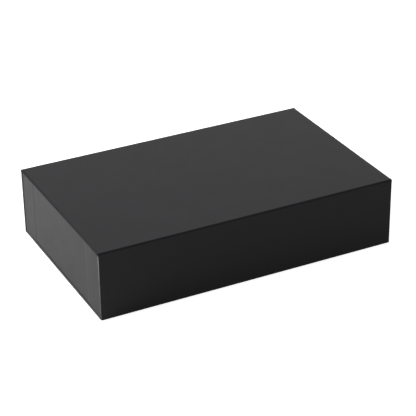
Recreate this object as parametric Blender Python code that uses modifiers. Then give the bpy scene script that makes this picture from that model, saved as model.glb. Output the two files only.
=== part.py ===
# Rigid storage box for a games console: a papered greyboard tray in a hinged cover with a magnet flap.
# Units are metres. +X runs along the length, -Y faces the flap, +Z is up, and the box stands on Z = 0.

import math

import bmesh
import bpy
from mathutils import Matrix, Vector

# Overall size of the closed box
BOX_LENGTH = 0.350
BOX_DEPTH = 0.218
BOX_HEIGHT = 0.0795

# Stock
BOARD = 0.002            # greyboard of cover and tray
PAPER = 0.0002           # covering and lining paper
GLUE = 0.0001            # glue film under every paper
SEAT = 0.0003            # gap where two rigid pieces meet

# Cover
SQUARE = 0.0004          # cover boards stand this far out past each tray end
TURN_IN = 0.015          # covering paper folded over onto a board's inner face
LINER_INSET = 0.003      # a lining paper ends this far inside its panel
FOLD_PLAY = 0.0005       # a fold is this much wider than a panel is thick
FLAP_CLEARANCE = 0.0004  # flap lining to the tray's front
FLAP_LIFT = 0.0006       # the flap's lower edge above the table

# Tray
EAR = 0.031              # paper ears of the long sides, glued on the tray ends
EAR_TAPER = 0.002        # an ear's outer edge is this much shorter at each end
FOOT = 0.018             # tray paper folded under the tray floor
STAY_LEG = 0.021         # leg of the corner tape
END_PAPER_INSET = 0.001  # the ends' own paper stops this far from the corner
FLOOR_LINER_INSET = 0.0005

# Closure
MAGNET_DIAMETER = 0.012
MAGNET_THICKNESS = 0.0015
KEEPER_DIAMETER = 0.014
KEEPER_THICKNESS = 0.0012
POCKET_PLAY = 0.0002      # round a disc in its hole
CLOSURE_OUT_SHARE = 0.60  # of the half length, from the middle to a disc
CLOSURE_UP_SHARE = 0.50   # of the flap board's height
DISC_SIDES = 48

OVERRUN = 0.004           # a cutter runs past what it cuts

# Thickness of a finished cover panel, from its outer paper to its lining
SKIN = PAPER + GLUE
COVERED = SKIN + BOARD + SKIN
PANEL = COVERED + SKIN
FOLD = PANEL + FOLD_PLAY
TRIM = 2 * PAPER          # neighbouring turned edges are cut back this much at a corner

# Cover faces
HALF_LENGTH = BOX_LENGTH / 2
FRONT = -BOX_DEPTH / 2
BACK = BOX_DEPTH / 2
LID_FRONT = FRONT + FOLD
LID_BACK = BACK - FOLD
WALL_TOP = BOX_HEIGHT - FOLD

# Tray faces, over its paper
TRAY_FRONT = FRONT + PANEL + FLAP_CLEARANCE
TRAY_BACK = BACK - PANEL - SEAT
TRAY_LOW = COVERED + SEAT
TRAY_TOP = BOX_HEIGHT - PANEL - SEAT
TRAY_HALF = HALF_LENGTH - SQUARE

# Tray boards: stay and paper lie over the long sides, stay, ear and paper over the ends
BOARD_FRONT = TRAY_FRONT + 2 * SKIN
BOARD_BACK = TRAY_BACK - 2 * SKIN
BOARD_HALF = TRAY_HALF - 3 * SKIN
EAR_HALF = TRAY_HALF - SKIN
EAR_LOW = TRAY_LOW + 2 * SKIN
EAR_TOP = TRAY_TOP - 2 * SKIN
FLOOR_LOW = TRAY_LOW + SKIN
FLOOR_TOP = FLOOR_LOW + BOARD
WALL_LOW = FLOOR_TOP + SEAT
RIM = TRAY_TOP - SKIN

# Inside of the tray, over its paper
INSIDE_HALF = BOARD_HALF - BOARD - SKIN
INSIDE_FRONT = BOARD_FRONT + BOARD + SKIN
INSIDE_BACK = BOARD_BACK - BOARD - SKIN
INSIDE_LOW = FLOOR_TOP + SKIN

# Fold axes and closure places
AXIS_Z = BOX_HEIGHT - FOLD / 2
LID_AXIS = Vector((0, BACK - FOLD / 2, AXIS_Z))
FLAP_AXIS = Vector((0, FRONT + FOLD / 2, AXIS_Z))
LOWER_FOLD = Vector((0, BACK - FOLD / 2, FOLD / 2))
FLAP_BOARD_LOW = FLAP_LIFT + SKIN
FLAP_BOARD_TOP = WALL_TOP - SKIN
CLOSURE_X = CLOSURE_OUT_SHARE * HALF_LENGTH
CLOSURE_Z = FLAP_BOARD_LOW + CLOSURE_UP_SHARE * (FLAP_BOARD_TOP - FLAP_BOARD_LOW)

UP = Vector((0, 0, 1))
ACROSS = Vector((1, 0, 0))
INTO = Vector((0, 1, 0))


def clear_scene():
    for obj in list(bpy.data.objects):
        bpy.data.objects.remove(obj, do_unlink=True)


def new_collection(name):
    collection = bpy.data.collections.new(name)
    bpy.context.scene.collection.children.link(collection)
    return collection


def material(name, colour, roughness, metallic=0):
    made = bpy.data.materials.new(name)
    made.use_nodes = True
    shader = made.node_tree.nodes["Principled BSDF"]
    shader.inputs["Base Color"].default_value = (*colour, 1)
    shader.inputs["Roughness"].default_value = roughness
    shader.inputs["Metallic"].default_value = metallic
    made.diffuse_color = (*colour, 1)
    return made


def greyboard():
    return material("greyboard", (0.36, 0.33, 0.29), 0.92)


def covering_paper():
    return material("black_covering_paper", (0.035, 0.035, 0.037), 0.62)


def lining_paper():
    return material("black_lining_paper", (0.022, 0.022, 0.024), 0.80)


def stay_tape():
    return material("brown_paper_tape", (0.42, 0.28, 0.16), 0.85)


def nickel_plate():
    return material("nickel_plate", (0.62, 0.60, 0.57), 0.28, 1)


def zinc_plate():
    return material("zinc_plated_steel", (0.55, 0.56, 0.58), 0.38, 1)


def add_object(name, mesh, collection, finish=None, parent=None, place=None):
    """Links a mesh as an object. place is its origin in the world, and the parent is an empty on a fold."""
    obj = bpy.data.objects.new(name, mesh)
    collection.objects.link(obj)
    if finish is not None:
        mesh.materials.append(finish)
    if place is not None:
        obj.location = place
    if parent is not None:
        obj.parent = parent
        obj.location -= parent.location
    return obj


def add_axis(name, place, collection):
    """An empty on a fold's axis. Its children's places are measured from it."""
    empty = bpy.data.objects.new(name, None)
    empty.empty_display_type = "ARROWS"
    empty.empty_display_size = BOX_HEIGHT / 4
    collection.objects.link(empty)
    empty.location = place
    return empty


def block(name, low, high, collection, finish=None, parent=None):
    """A box between two corners, its origin at its middle."""
    low, high = Vector(low), Vector(high)
    mesh = bpy.data.meshes.new(name)
    shape = bmesh.new()
    bmesh.ops.create_cube(shape, size=1)
    bmesh.ops.scale(shape, vec=high - low, verts=shape.verts)
    shape.to_mesh(mesh)
    shape.free()
    return add_object(name, mesh, collection, finish, parent, (low + high) / 2)


def disc(name, centre, diameter, thickness, collection, finish=None, parent=None):
    """A round plate whose axis runs along Y."""
    mesh = bpy.data.meshes.new(name)
    shape = bmesh.new()
    turned = Matrix.Rotation(math.pi / 2, 4, "X")
    bmesh.ops.create_cone(
        shape, cap_ends=True, segments=DISC_SIDES, matrix=turned,
        radius1=diameter / 2, radius2=diameter / 2, depth=thickness,
    )
    shape.to_mesh(mesh)
    shape.free()
    mesh.shade_smooth()
    mesh.set_sharp_from_angle(angle=math.radians(40))
    return add_object(name, mesh, collection, finish, parent, Vector(centre))


def cut(obj, cutter):
    cutter.hide_render = True
    cutter.display_type = "WIRE"
    change = obj.modifiers.new("cut_" + cutter.name, "BOOLEAN")
    change.operation = "DIFFERENCE"
    change.solver = "EXACT"
    change.object = cutter


def sheet(middle, across, up):
    """A flat piece of paper as one open face, spanned by two edge vectors about its middle."""
    frame = Matrix.Translation(middle)
    for row in range(3):
        frame[row][0] = across[row]
        frame[row][1] = up[row]
        frame[row][2] = across.cross(up).normalized()[row]
    shape = bmesh.new()
    bmesh.ops.create_grid(shape, x_segments=1, y_segments=1, size=0.5, matrix=frame)
    return shape


def fold(shape, middle, by, trim=0):
    """Pulls new paper out of the edge whose middle is given, and trims its far edge at both ends."""
    def distance(edge):
        return ((edge.verts[0].co + edge.verts[1].co) / 2 - middle).length

    edge = min(shape.edges, key=distance)
    made = bmesh.ops.extrude_edge_only(shape, edges=[edge])["geom"]
    ends = [item for item in made if isinstance(item, bmesh.types.BMVert)]
    bmesh.ops.translate(shape, verts=ends, vec=by)
    far = (ends[0].co + ends[1].co) / 2
    for end in ends:
        end.co += (far - end.co).normalized() * trim
    return far


def paper(name, shape, outward, collection, finish, parent=None):
    """Finishes a folded sheet: its drawn side is the outer one, and its thickness lies inside."""
    bmesh.ops.recalc_face_normals(shape, faces=shape.faces)
    shape.faces.ensure_lookup_table()
    if shape.faces[0].normal.dot(outward) < 0:
        bmesh.ops.reverse_faces(shape, faces=shape.faces)
    origin = parent.location.copy() if parent else Vector()
    bmesh.ops.translate(shape, verts=shape.verts, vec=-origin)
    mesh = bpy.data.meshes.new(name)
    shape.to_mesh(mesh)
    shape.free()
    obj = add_object(name, mesh, collection, finish, parent, origin)
    wall = obj.modifiers.new("paper", "SOLIDIFY")
    wall.thickness = PAPER
    wall.offset = -1
    wall.solidify_mode = "NON_MANIFOLD"
    wall.nonmanifold_thickness_mode = "CONSTRAINTS"
    wall.nonmanifold_merge_threshold = GLUE / 10
    return obj


def turn_in(shape, middle, back, inward):
    """Folds an edge back over the board's end, then in over its inner face, its corners mitred."""
    over = fold(shape, middle, back * COVERED, TRIM)
    fold(shape, over, inward * TURN_IN, TURN_IN)


def fold_paper(shape, middle, axis):
    """The slanting paper from a panel's end to half the seat gap short of the fold's axis."""
    way = axis - middle
    fold(shape, middle, way - way.normalized() * (SEAT / 2))


def make_cover_boards(parts, finish, lid, flap):
    half = HALF_LENGTH - SKIN
    spine_low = (-half, BACK - SKIN - BOARD, FOLD + SKIN)
    spine_high = (half, BACK - SKIN, WALL_TOP - SKIN)
    bottom_low = (-half, TRAY_FRONT + SKIN, SKIN)
    block("bottom_board", bottom_low, (half, LID_BACK - SKIN, SKIN + BOARD), parts, finish)
    block("spine_board", spine_low, spine_high, parts, finish)
    lid_low = (-half, LID_FRONT + SKIN, BOX_HEIGHT - SKIN - BOARD)
    block("lid_board", lid_low, (half, LID_BACK - SKIN, BOX_HEIGHT - SKIN), parts, finish, lid)
    flap_low = (-half, FRONT + SKIN, FLAP_BOARD_LOW)
    return block("flap_board", flap_low, (half, FRONT + SKIN + BOARD, FLAP_BOARD_TOP), parts, finish, flap)


def make_bottom_wrap(parts, finish):
    deep = LID_BACK - TRAY_FRONT
    middle = Vector((0, TRAY_FRONT + deep / 2, 0))
    shape = sheet(middle, ACROSS * BOX_LENGTH, INTO * deep)
    turn_in(shape, Vector((0, TRAY_FRONT, 0)), UP, INTO)
    for side in (-1, 1):
        turn_in(shape, middle + ACROSS * side * HALF_LENGTH, UP, ACROSS * -side)
    fold_paper(shape, Vector((0, LID_BACK, 0)), LOWER_FOLD)
    return paper("bottom_wrap", shape, -UP, parts, finish)


def make_spine_wrap(parts, finish):
    tall = WALL_TOP - FOLD
    middle = Vector((0, BACK, FOLD + tall / 2))
    shape = sheet(middle, ACROSS * BOX_LENGTH, UP * tall)
    for side in (-1, 1):
        turn_in(shape, middle + ACROSS * side * HALF_LENGTH, -INTO, ACROSS * -side)
    fold_paper(shape, Vector((0, BACK, FOLD)), LOWER_FOLD)
    fold_paper(shape, Vector((0, BACK, WALL_TOP)), LID_AXIS)
    return paper("spine_wrap", shape, INTO, parts, finish)


def make_lid_wrap(parts, finish, lid):
    shape = sheet(Vector((0, 0, BOX_HEIGHT)), ACROSS * BOX_LENGTH, INTO * (LID_BACK - LID_FRONT))
    for side in (-1, 1):
        turn_in(shape, Vector((side * HALF_LENGTH, 0, BOX_HEIGHT)), -UP, ACROSS * -side)
    fold_paper(shape, Vector((0, LID_FRONT, BOX_HEIGHT)), FLAP_AXIS)
    fold_paper(shape, Vector((0, LID_BACK, BOX_HEIGHT)), LID_AXIS)
    return paper("lid_wrap", shape, UP, parts, finish, lid)


def make_flap_wrap(parts, finish, flap):
    tall = WALL_TOP - FLAP_LIFT
    middle = Vector((0, FRONT, FLAP_LIFT + tall / 2))
    shape = sheet(middle, ACROSS * BOX_LENGTH, UP * tall)
    turn_in(shape, Vector((0, FRONT, FLAP_LIFT)), INTO, UP)
    for side in (-1, 1):
        turn_in(shape, middle + ACROSS * side * HALF_LENGTH, INTO, ACROSS * -side)
    fold_paper(shape, Vector((0, FRONT, WALL_TOP)), FLAP_AXIS)
    return paper("flap_wrap", shape, -INTO, parts, finish, flap)


def make_liners(parts, finish, lid, flap):
    half = HALF_LENGTH - LINER_INSET
    lid_low = (-half, LID_FRONT + LINER_INSET, BOX_HEIGHT - PANEL)
    lid_high = (half, LID_BACK - LINER_INSET, BOX_HEIGHT - PANEL + PAPER)
    block("lid_liner", lid_low, lid_high, parts, finish, lid)
    flap_low = (-half, FRONT + PANEL - PAPER, FLAP_LIFT + LINER_INSET)
    block("flap_liner", flap_low, (half, FRONT + PANEL, WALL_TOP), parts, finish, flap)
    spine_low = (-half, BACK - PANEL, FOLD + LINER_INSET)
    block("spine_liner", spine_low, (half, BACK - PANEL + PAPER, WALL_TOP), parts, finish)
    floor_half = INSIDE_HALF - FLOOR_LINER_INSET
    floor_low = (-floor_half, INSIDE_FRONT + FLOOR_LINER_INSET, INSIDE_LOW - PAPER)
    floor_high = (floor_half, INSIDE_BACK - FLOOR_LINER_INSET, INSIDE_LOW)
    block("tray_floor_liner", floor_low, floor_high, parts, finish)


def make_tray_boards(parts, finish):
    floor_low = (-BOARD_HALF, BOARD_FRONT, FLOOR_LOW)
    block("tray_floor_board", floor_low, (BOARD_HALF, BOARD_BACK, FLOOR_TOP), parts, finish)
    back_low = (-BOARD_HALF, BOARD_BACK - BOARD, WALL_LOW)
    block("tray_back_board", back_low, (BOARD_HALF, BOARD_BACK, RIM), parts, finish)
    between = BOARD + SEAT
    for name, low_x in (("left", -BOARD_HALF), ("right", BOARD_HALF - BOARD)):
        low = (low_x, BOARD_FRONT + between, WALL_LOW)
        block(f"tray_{name}_board", low, (low_x + BOARD, BOARD_BACK - between, RIM), parts, finish)
    front_low = (-BOARD_HALF, BOARD_FRONT, WALL_LOW)
    return block("tray_front_board", front_low, (BOARD_HALF, BOARD_FRONT + BOARD, RIM), parts, finish)


def make_corner_stay(parts, finish, name, side, face, inward):
    """Paper tape round one upright corner. side is -1 at the left, and inward points into the tray in Y."""
    tall = RIM - FLOOR_LOW
    half = BOARD_HALF + SKIN
    middle = Vector((side * (half - STAY_LEG / 2), face, FLOOR_LOW + tall / 2))
    shape = sheet(middle, ACROSS * STAY_LEG, UP * tall)
    fold(shape, Vector((side * half, face, middle.z)), inward * STAY_LEG)
    return paper("corner_stay_" + name, shape, -inward, parts, finish)


def make_corner_stays(parts, finish):
    front, back = BOARD_FRONT - SKIN, BOARD_BACK + SKIN
    for side, where in ((-1, "left"), (1, "right")):
        make_corner_stay(parts, finish, "front_" + where, side, front, INTO)
        make_corner_stay(parts, finish, "back_" + where, side, back, -INTO)


def make_long_tray_wrap(parts, finish, name, face, inner_face, inward):
    """Paper of a long side: its ears go round the corners, its top over the rim and down inside."""
    middle = Vector((0, face, (EAR_LOW + EAR_TOP) / 2))
    shape = sheet(middle, ACROSS * 2 * EAR_HALF, UP * (EAR_TOP - EAR_LOW))
    for side in (-1, 1):
        fold(shape, middle + ACROSS * side * EAR_HALF, inward * EAR, EAR_TAPER)
    rim = fold(shape, Vector((0, face, EAR_TOP)), UP * (TRAY_TOP - EAR_TOP))
    inner = fold(shape, rim, inward * abs(inner_face - face), EAR_HALF - INSIDE_HALF + SEAT)
    fold(shape, inner, -UP * (TRAY_TOP - INSIDE_LOW - GLUE))
    foot = fold(shape, Vector((0, face, EAR_LOW)), -UP * (EAR_LOW - TRAY_LOW))
    fold(shape, foot, inward * FOOT, FOOT)
    return paper(name, shape, -inward, parts, finish)


def make_end_tray_wrap(parts, finish, name, side):
    """Paper of a tray end, over the ears, from under the floor up and over the rim and down inside."""
    front, back = TRAY_FRONT + END_PAPER_INSET, TRAY_BACK - END_PAPER_INSET
    outward = ACROSS * side
    face = Vector((side * TRAY_HALF, (front + back) / 2, (TRAY_LOW + TRAY_TOP) / 2))
    shape = sheet(face, INTO * (back - front), UP * (TRAY_TOP - TRAY_LOW))
    rim = face + UP * (TRAY_TOP - TRAY_LOW) / 2
    rim_trim = INSIDE_FRONT + SEAT - front
    inner = fold(shape, rim, -outward * (TRAY_HALF - INSIDE_HALF), rim_trim)
    fold(shape, inner, -UP * (TRAY_TOP - INSIDE_LOW - GLUE))
    foot = face - UP * (TRAY_TOP - TRAY_LOW) / 2
    fold(shape, foot, -outward * FOOT, FOOT)
    return paper(name, shape, outward, parts, finish)


def make_closure(parts, cutters, flap_board, front_board, flap):
    """Magnets in holes through the flap board, and steel discs in holes through the tray's front board."""
    magnet_finish, keeper_finish = nickel_plate(), zinc_plate()
    magnet_y = FRONT + SKIN + BOARD - MAGNET_THICKNESS / 2
    keeper_y = BOARD_FRONT + KEEPER_THICKNESS / 2
    long_cut = BOARD + 2 * OVERRUN
    for name, x in (("left", -CLOSURE_X), ("right", CLOSURE_X)):
        hole = MAGNET_DIAMETER + 2 * POCKET_PLAY
        in_flap = (x, FRONT + SKIN + BOARD / 2, CLOSURE_Z)
        cut(flap_board, disc("magnet_hole_" + name, in_flap, hole, long_cut, cutters))
        magnet_at = (x, magnet_y, CLOSURE_Z)
        disc("flap_magnet_" + name, magnet_at, MAGNET_DIAMETER, MAGNET_THICKNESS, parts, magnet_finish, flap)
        hole = KEEPER_DIAMETER + 2 * POCKET_PLAY
        in_tray = (x, BOARD_FRONT + BOARD / 2, CLOSURE_Z)
        cut(front_board, disc("keeper_hole_" + name, in_tray, hole, long_cut, cutters))
        keeper_at = (x, keeper_y, CLOSURE_Z)
        disc("keeper_" + name, keeper_at, KEEPER_DIAMETER, KEEPER_THICKNESS, parts, keeper_finish)


def hang_flap_on_lid(flap, lid):
    """The flap's axis moves with the lid, and turns about its own fold."""
    flap.parent = lid
    flap.location = FLAP_AXIS - LID_AXIS


def main():
    clear_scene()
    parts = new_collection("console_storage_box")
    cutters = new_collection("cutters")
    board, covering, lining = greyboard(), covering_paper(), lining_paper()
    lid = add_axis("lid_axis", LID_AXIS, parts)
    flap = add_axis("flap_axis", FLAP_AXIS, parts)
    flap_board = make_cover_boards(parts, board, lid, flap)
    make_bottom_wrap(parts, covering)
    make_spine_wrap(parts, covering)
    make_lid_wrap(parts, covering, lid)
    make_flap_wrap(parts, covering, flap)
    make_liners(parts, lining, lid, flap)
    front_board = make_tray_boards(parts, board)
    make_corner_stays(parts, stay_tape())
    make_long_tray_wrap(parts, covering, "tray_front_wrap", TRAY_FRONT, INSIDE_FRONT, INTO)
    make_long_tray_wrap(parts, covering, "tray_back_wrap", TRAY_BACK, INSIDE_BACK, -INTO)
    make_end_tray_wrap(parts, covering, "tray_left_wrap", -1)
    make_end_tray_wrap(parts, covering, "tray_right_wrap", 1)
    make_closure(parts, cutters, flap_board, front_board, flap)
    hang_flap_on_lid(flap, lid)


main()
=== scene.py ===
# Looks of a rigid paper-covered storage box: tray, four-panel cover, folds, linings and a small studio.
# Units are metres. +X runs along the length, -Y faces the flap, +Z is up, and the box stands on Z = 0.

import math

import bmesh
import bpy
from mathutils import Matrix, Vector


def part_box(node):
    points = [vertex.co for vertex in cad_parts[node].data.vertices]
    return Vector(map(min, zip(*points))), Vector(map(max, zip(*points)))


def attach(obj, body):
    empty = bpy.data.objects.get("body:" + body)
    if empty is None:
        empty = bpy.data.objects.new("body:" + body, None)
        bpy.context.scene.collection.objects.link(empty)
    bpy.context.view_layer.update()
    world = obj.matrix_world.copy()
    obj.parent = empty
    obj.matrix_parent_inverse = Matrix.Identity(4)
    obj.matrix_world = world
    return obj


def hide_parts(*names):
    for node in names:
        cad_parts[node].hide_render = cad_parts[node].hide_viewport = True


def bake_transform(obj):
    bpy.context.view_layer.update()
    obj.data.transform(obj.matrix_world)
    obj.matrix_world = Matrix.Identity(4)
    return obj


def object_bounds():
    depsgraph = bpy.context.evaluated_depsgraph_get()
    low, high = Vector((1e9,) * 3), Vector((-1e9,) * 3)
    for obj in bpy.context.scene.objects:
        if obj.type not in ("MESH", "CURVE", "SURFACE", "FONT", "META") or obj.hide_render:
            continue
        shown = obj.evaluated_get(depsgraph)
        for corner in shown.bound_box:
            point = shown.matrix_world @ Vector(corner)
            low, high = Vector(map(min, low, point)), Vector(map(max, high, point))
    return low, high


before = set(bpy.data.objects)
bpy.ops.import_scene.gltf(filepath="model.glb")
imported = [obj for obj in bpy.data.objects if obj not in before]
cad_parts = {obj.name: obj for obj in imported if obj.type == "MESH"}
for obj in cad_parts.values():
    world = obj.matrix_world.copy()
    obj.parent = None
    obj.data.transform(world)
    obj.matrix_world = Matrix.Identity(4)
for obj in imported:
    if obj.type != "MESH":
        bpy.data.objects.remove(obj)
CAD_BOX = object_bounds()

bl_info = {
    "name": "Papered Storage Box",
    "version": (1, 0, 0),
    "blender": (4, 5, 0),
    "location": "3D View > Sidebar > Storage Box",
    "description": "Dresses the packed storage box in folded paper and sets up its studio",
    "category": "Object",
}

ACROSS = Vector((1, 0, 0))
INTO = Vector((0, 1, 0))
UP = Vector((0, 0, 1))
SKIN = 0.0003            # paper and glue over a board
CUT_DISTANCE = 1e-8      # points as near to a cut as this lie on it
WELD_DISTANCE = 1e-7     # points as near as this are one
SAME_WAY = 0.99          # cosine over which a face looks the given way
SHARP_ANGLE = math.radians(38)
STRAIGHT = math.radians(0.5)
FACE_WEIGHT = 90         # how far the large faces lead the shading

ARC_STEPS = 6            # segments of a rounded paper edge
RUN_OUT = 3              # radii that an open side stands out before it is cut off
EASE_SPANS = 8           # the eased strip is parted into eighths
EASE_CUTS = 6            # the inner ones, as the rounding parts the rest
EASE_CURVE = 1.6         # exponent of the eased slope
SOFT_SPANS = 4           # steps in the width on either side of a hidden edge
CLOSE_SHARE = 0.02       # places nearer than this share of the width are one
WIDE_STEP = 0.03         # longest step across a lining
END_STEP = 0.01          # longest step across a tray end
FOLD_STEPS = 33          # sections along the paper over a fold
CREASE_STEPS = 12
PRINT_SIDES = 48

NOISE_MIDDLE = {"From Min": 0.3, "From Max": 0.7}   # nearly all of a noise lies between these
FINE_SHARE = 0.55        # how much of a noise its finer layers keep

FLAP_RUB_HIGHLIGHT = 0.1          # rubbed paper and a painted highlight on the flap's side edges at their foot
UPPER_RUB_HIGHLIGHT = 0.65      # more, where hands take the flap
UPPER_FROM = 0.42      # middle of the change, as a share of the flap's height
UPPER_OVER = 0.45      # and its width
BOTTOM_RUB_HIGHLIGHT = 0.36       # rubbed paper and a painted highlight at the bottom panel's ends
# rubbed paper and a painted highlight at the spine panel's ends
SPINE_RUB_HIGHLIGHT = 0.2

LAMPS = (                # name, place, width and height, setting with its watts
    ("lamp_back_left", (-1.6, 0.7, 0.9), (1.2, 0.9), "back_left"),
    ("lamp_overhead", (-0.3, 0.5, 1.7), (1.4, 1.2), "overhead"),
    ("lamp_front_right", (1.4, -1.3, 1.0), (1.0, 0.8), "front_right"),
)
LAMP_AIM = (0, 0, 0.04)
FLOOR_HALF = 4.0
FLOOR_GAP = 0.0002       # the floor lies this far under the box


def srgb(code):
    """An sRGB hex colour as linear red, green and blue."""
    values = [int(code[place:place + 2], 16) / 255 for place in (1, 3, 5)]
    return [v / 12.92 if v <= 0.04045 else ((v + 0.055) / 1.055) ** 2.4 for v in values]


def length(name, description, default):
    return bpy.props.FloatProperty(name=name, description=description, default=default, unit="LENGTH")


def colour(name, description, code):
    return bpy.props.FloatVectorProperty(
        name=name, description=description, default=srgb(code), size=3, subtype="COLOR", min=0, max=1,
    )


def angle(name, description, degrees):
    return bpy.props.FloatProperty(
        name=name, description=description, default=math.radians(degrees), subtype="ANGLE",
    )


def amount(name, description, default, unit="NONE"):
    return bpy.props.FloatProperty(name=name, description=description, default=default, unit=unit)


class PaperSizes(bpy.types.PropertyGroup):
    """Sizes of the papers and of how they are folded"""
    paper: length("Paper", "Thickness of covering and lining paper", 0.0002)
    fold_paper: length("Fold paper", "Thickness of the papers that cross a fold", 0.0003)
    lid_edge: length("Lid edge", "Radius of the paper over the lid board's edges", 0.0005)
    eased_width: length("Eased width", "The lid's top slopes down over this width at its ends", 0.0022)
    eased_drop: length("Eased drop", "The lid's top lies this much lower at its ends", 0.00018)
    board_edge: length("Board edge", "Radius of the paper over the flap board's edges", 0.0005)
    tight_edge: length("Tight edge", "Radius of the paper over the other boards' edges", 0.00028)
    rim_edge: length("Rim edge", "Radius of the paper over the tray's rim", 0.0006)
    crease: length("Crease", "Radius of a fold of the cover, over its paper", 0.0019)
    base_crease: length("Base crease", "Radius of the fold the box stands on", 0.0018)
    turn_in: length("Turn-in", "Covering paper folded onto a panel's inner face", 0.015)
    lining_sink: length("Lining sink", "The lining sinks this much between the turn-ins", 0.00018)
    ear_rise: length("Ear rise", "An ear lifts the tray's end paper this much", 0.00017)
    stay_rise: length("Tape rise", "The corner tape lifts it this much more", 0.00006)
    seam_close: length("Seam close", "The tray's paper comes this much nearer to the bottom panel", 0.00024)
    floor_reach: length("Floor reach", "The tray's floor paper runs this much nearer to the walls", 0.0004)
    end_reach: length("End reach", "A tray end's own paper runs this much nearer to the corners", 0.0009)
    foot: length("Foot", "Tray paper folded under the tray's floor", 0.018)
    ear_inset: length("Ear inset", "An ear stops this far short of the wall's height at each end", 0.002)
    mitre_drop: length("Mitre", "A tray end's paper narrows to the rim from this far under it", 0.0011)
    step_width: length("Step width", "Paper eases over a hidden edge in this width", 0.003)
    print_rise: length("Disc print", "A sunk disc shows through its paper this much", 0.00012)


class PaperColours(bpy.types.PropertyGroup):
    """Colours of papers, boards, metal and floor"""
    covering: colour("Covering paper", "Dyed black paper of cover and tray", "#1a1a1d")
    # a pale grey laid on some edges: rubbed paper and a painted highlight
    rubbed_and_highlit: colour("Rubbed edge", "Covering paper where its fibres are rubbed open", "#848486")
    lining: colour("Lining paper", "Black paper inside", "#232325")
    greyboard: colour("Greyboard", "Pressed waste-paper board", "#8a8175")
    tape: colour("Corner tape", "Gummed kraft paper", "#a67c52")
    nickel: colour("Nickel", "Plating of the magnets", "#cfc8bd")
    zinc: colour("Zinc", "Plating of the steel discs", "#c2c7cc")
    floor: colour("Floor", "Pale paper sweep under the box", "#e8e8e8")


class StudioSettings(bpy.types.PropertyGroup):
    """Camera and lamps"""
    azimuth: angle("Azimuth", "Camera's bearing, from straight in front of the flap", -26.4916)
    elevation: angle("Elevation", "Camera's height over the horizon", 28.0306)
    roll: angle("Roll", "Camera's turn about its view", -0.826)
    distance: length("Distance", "From the aim to the camera", 1.75055)
    lens: amount("Lens", "Focal length in millimetres on a 36 mm sensor", 135.30, "CAMERA")
    aim_x: length("Aim across", "Where the camera aims, from the box's middle", 0.00369)
    aim_z: length("Aim height", "Where the camera aims, over the floor", 0.03622)
    back_left: amount("Back left lamp", "Watts of the large lamp behind the left end", 41.0, "POWER")
    overhead: amount("Overhead lamp", "Watts of the soft lamp above", 2.0, "POWER")
    front_right: amount("Front lamp", "Watts of the weak lamp in front", 0.1, "POWER")
    room: amount("Room", "Strength of the room's light", 0.36)
    whitening: amount("Whitening", "Light added to the floor where the camera sees it", 0.85)
    backdrop_sheen: amount("Backdrop sheen", "Level of the backdrop where gloss mirrors it", 0.85)
    front_sheen: amount("Front sheen", "Level of the room in front where gloss mirrors it", 0.1)
    sheen_from: amount("Sheen from", "The mirrored room pales from this share of straight back", -0.3)
    sheen_to: amount("Sheen to", "From this share on it is at the backdrop's level", 0.4)
    floor_sheen: amount("Floor sheen", "Light added to the floor where gloss mirrors it", 0.3)


class StorageBoxSettings(bpy.types.PropertyGroup):
    """Everything that a user would change"""
    sizes: bpy.props.PointerProperty(type=PaperSizes)
    colours: bpy.props.PointerProperty(type=PaperColours)
    studio: bpy.props.PointerProperty(type=StudioSettings)


def sizes():
    return bpy.context.scene.storage_box.sizes


def colours():
    return bpy.context.scene.storage_box.colours


def studio():
    return bpy.context.scene.storage_box.studio


# ---------------------------------------------------------------- shapes


def grown(node, by):
    """A CAD node's box, larger by the same amount on every side."""
    low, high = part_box(node)
    more = Vector((by, by, by))
    return low - more, high + more


def new_object(name, mesh, finish):
    obj = bpy.data.objects.new(name, mesh)
    bpy.context.scene.collection.objects.link(obj)
    mesh.materials.clear()
    mesh.materials.append(finish)
    return obj


def mesh_from(shape, name):
    mesh = bpy.data.meshes.new(name)
    shape.to_mesh(mesh)
    shape.free()
    return mesh


def bake_modifiers(obj):
    """Turns an object and its modifiers into one plain mesh."""
    graph = bpy.context.evaluated_depsgraph_get()
    mesh = bpy.data.meshes.new_from_object(obj.evaluated_get(graph))
    obj.modifiers.clear()
    obj.data = mesh
    return obj


def finish_paper(name, mesh, finish, thickness):
    """Gives an open paper surface its thickness, on its inner side, and shades its folds smooth."""
    obj = new_object(name, mesh, finish)
    wall = obj.modifiers.new("thickness", "SOLIDIFY")
    wall.thickness = thickness
    wall.offset = -1
    wall.use_even_offset = True
    bake_modifiers(obj)
    return shade(obj)


def shade(obj):
    obj.data.shade_smooth()
    obj.data.set_sharp_from_angle(angle=SHARP_ANGLE)
    even = obj.modifiers.new("flat_faces_lead", "WEIGHTED_NORMAL")
    even.keep_sharp = True
    even.weight = FACE_WEIGHT
    return bake_modifiers(obj)


def flap_rub_highlight(up):
    """Rubbed paper and a painted highlight on the flap's side edges, stronger in the upper half. up runs
    from its foot to its top.
    """
    return FLAP_RUB_HIGHLIGHT + UPPER_RUB_HIGHLIGHT * soft_step(up, UPPER_FROM, UPPER_OVER)


def mark_rub_highlight(mesh, low, high, reach, level):
    """Stores how much rubbed paper and painted highlight a point at a panel's two ends gets. level gives it
    from the height in the panel.
    """
    values = []
    for vertex in mesh.vertices:
        out = min(vertex.co.x - low.x, high.x - vertex.co.x)
        near = max(0.0, 1 - out / reach)
        values.append(near * level((vertex.co.z - low.z) / (high.z - low.z)))
    store(mesh, "edge_rub", values)


def pressed(point, low, high):
    """How far a point of the lid is pressed down, from nought to one at the end's top edge."""
    share = 1 - (high.x - abs(point.x)) / sizes().eased_width
    up = (point.z - low.z) / (high.z - low.z)
    return max(0.0, share) ** EASE_CURVE * max(0.0, up)


def mark_pressed_and_shaded(mesh, low, high):
    """Stores how far each point of the lid is pressed down, which also sets a painted shade along its ends.
    """
    store(mesh, "edge_press", [pressed(vertex.co, low, high) for vertex in mesh.vertices])


def store(mesh, name, values):
    layer = mesh.attributes.new(name, "FLOAT", "POINT")
    layer.data.foreach_set("value", values)


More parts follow.
